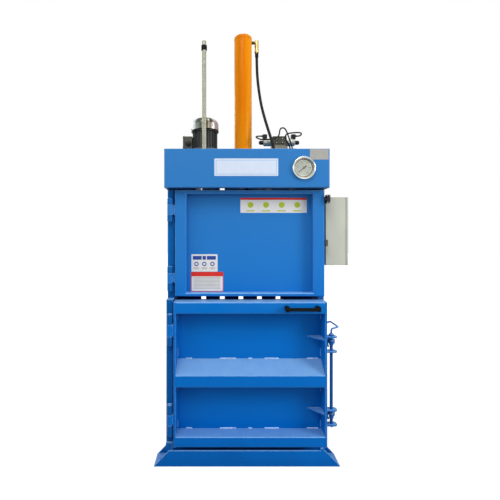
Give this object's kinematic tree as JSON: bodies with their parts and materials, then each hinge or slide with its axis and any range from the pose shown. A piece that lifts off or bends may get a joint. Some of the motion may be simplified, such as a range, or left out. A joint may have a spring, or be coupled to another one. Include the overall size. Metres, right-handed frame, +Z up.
{
  "type": "vertical recycling baler",
  "caption": "Upright hydraulic baler with a hinged lower door, a hinged feed door, a top cylinder, strap slots and a side cabinet.",
  "frame": {"origin": "on the floor, in the middle of the four anchor holes of the feet", "axes": "+Z up, the doors face -Y, +X to the right of a person who faces the doors"},
  "size_m": [1.153, 0.744, 2.6],
  "materials": {
    "blue_enamel": "blue machine enamel, semi-gloss",
    "orange_enamel": "orange machine enamel, gloss",
    "grey_enamel": "light grey powder coat",
    "black_enamel": "black powder coat",
    "motor_enamel": "dark grey motor enamel over cast fins",
    "cowl_enamel": "grey metallic enamel",
    "bright_steel": "turned and bright",
    "galvanised_steel": "galvanised, light grey",
    "hard_chrome": "ground and chromed",
    "polished_steel": "polished",
    "phosphated_iron": "phosphated cast iron",
    "brass": "plain brass",
    "black_rubber": "rubber-covered hose",
    "black_plastic": "moulded black plastic",
    "lead_sheath": "black cable sheath",
    "dial_enamel": "pale printed dial",
    "gauge_glass": "clear",
    "red_plastic": "moulded red plastic",
    "green_plastic": "moulded green plastic",
    "gear_plastic": "moulded grey plastic on a zinc plate"
  },
  "bodies": {
    "root": {"front_foot": "blue_enamel", "rear_foot": "blue_enamel", "chamber_floor": "blue_enamel", "left_wall": "blue_enamel", "right_wall": "blue_enamel", "rear_wall": "blue_enamel", "hinge_post": "blue_enamel", "frame_knuckles": "blue_enamel", "hinge_pins": "bright_steel", "latch_keepers": "blue_enamel", "front_beam": "blue_enamel", "deck_plate": "blue_enamel", "front_fascia": "blue_enamel", "cylinder_barrel": "orange_enamel", "cylinder_cap": "orange_enamel", "cylinder_gland": "orange_enamel", "hose_fittings": "brass", "pressure_hose": "black_rubber", "rod_bush": "brass", "oil_tank": "blue_enamel", "steel_pipes": "bright_steel", "motor_body": "motor_enamel", "fan_cowl": "cowl_enamel", "terminal_box": "motor_enamel", "valve_stand": "blue_enamel", "manifold": "phosphated_iron", "valve_block": "phosphated_iron", "solenoid_coils": "bright_steel", "solenoid_nuts": "black_plastic", "coil_plugs": "black_plastic", "left_lead": "lead_sheath", "right_lead": "lead_sheath", "gauge_case": "polished_steel", "gauge_bezel": "polished_steel", "gauge_dial": "dial_enamel", "gauge_glass": "gauge_glass", "cabinet_box": "grey_enamel", "cabinet_gear": "gear_plastic", "limit_switch": "black_plastic", "door_catch": "black_plastic"},
    "ram": {"platen": "blue_enamel", "piston_rod": "hard_chrome", "stroke_rod": "galvanised_steel", "stroke_collar": "black_enamel"},
    "lower_door": {"lower_door_frame": "blue_enamel", "lower_door_panel": "blue_enamel", "door_handle": "black_enamel"},
    "latch": {"latch_shaft": "blue_enamel", "latch_handle": "blue_enamel"},
    "upper_door": {"upper_door_frame": "blue_enamel", "upper_door_panel": "blue_enamel"},
    "cabinet_lid": {"cabinet_door": "grey_enamel"},
    "cooling_fan": {"motor_fan": "black_plastic"},
    "gauge_needle": {"gauge_pointer": "black_enamel"},
    "stop": {"stop_button": "red_plastic"},
    "up": {"up_button": "green_plastic"},
    "down": {"down_button": "green_plastic"},
    "selector": {"selector_knob": "black_plastic"},
    "switch_plunger": {"limit_plunger": "bright_steel"}
  },
  "joints": [
    {"name": "platen_slide", "type": "slide", "parent": "root", "child": "ram", "axis": [0, 0, 1], "range_m": [-0.68, 0]},
    {"name": "lower_door_hinge", "type": "hinge", "parent": "root", "child": "lower_door", "pos_m": [-0.433, -0.35, 0.5], "axis": [0, 0, -1], "range_deg": [0, 110]},
    {"name": "upper_door_hinge", "type": "hinge", "parent": "root", "child": "upper_door", "pos_m": [-0.44, -0.3, 1.24], "axis": [0, 0, -1], "range_deg": [0, 110]},
    {"name": "latch_turn", "type": "hinge", "parent": "lower_door", "child": "latch", "pos_m": [0.49, -0.292, 0.45], "axis": [0, 0, 1], "range_deg": [-100, 14]},
    {"name": "cabinet_hinge", "type": "hinge", "parent": "root", "child": "cabinet_lid", "pos_m": [0.596, 0.057, 1.3], "axis": [0, 0, 1], "range_deg": [0, 110]},
    {"name": "fan_spin", "type": "hinge", "parent": "root", "child": "cooling_fan", "pos_m": [-0.254, 0.05, 2.015], "axis": [0, 0, 1], "continuous": true},
    {"name": "gauge_turn", "type": "hinge", "parent": "root", "child": "gauge_needle", "pos_m": [0.319, -0.345, 1.67], "axis": [0, 1, 0], "range_deg": [0, 270], "stiffness_Nm_per_rad": 0.0005},
    {"name": "stop_press", "type": "slide", "parent": "cabinet_lid", "child": "stop", "axis": [-1, 0, 0], "range_m": [0, 0.006], "stiffness_N_per_m": 600},
    {"name": "up_press", "type": "slide", "parent": "cabinet_lid", "child": "up", "axis": [-1, 0, 0], "range_m": [0, 0.003], "stiffness_N_per_m": 400},
    {"name": "down_press", "type": "slide", "parent": "cabinet_lid", "child": "down", "axis": [-1, 0, 0], "range_m": [0, 0.003], "stiffness_N_per_m": 400},
    {"name": "selector_turn", "type": "hinge", "parent": "cabinet_lid", "child": "selector", "pos_m": [0.61, -0.16, 1.435], "axis": [1, 0, 0], "range_deg": [-45, 45]},
    {"name": "limit_press", "type": "slide", "parent": "root", "child": "switch_plunger", "axis": [1, 0, 0], "range_m": [0, 0.003], "stiffness_N_per_m": 300}
  ]
}
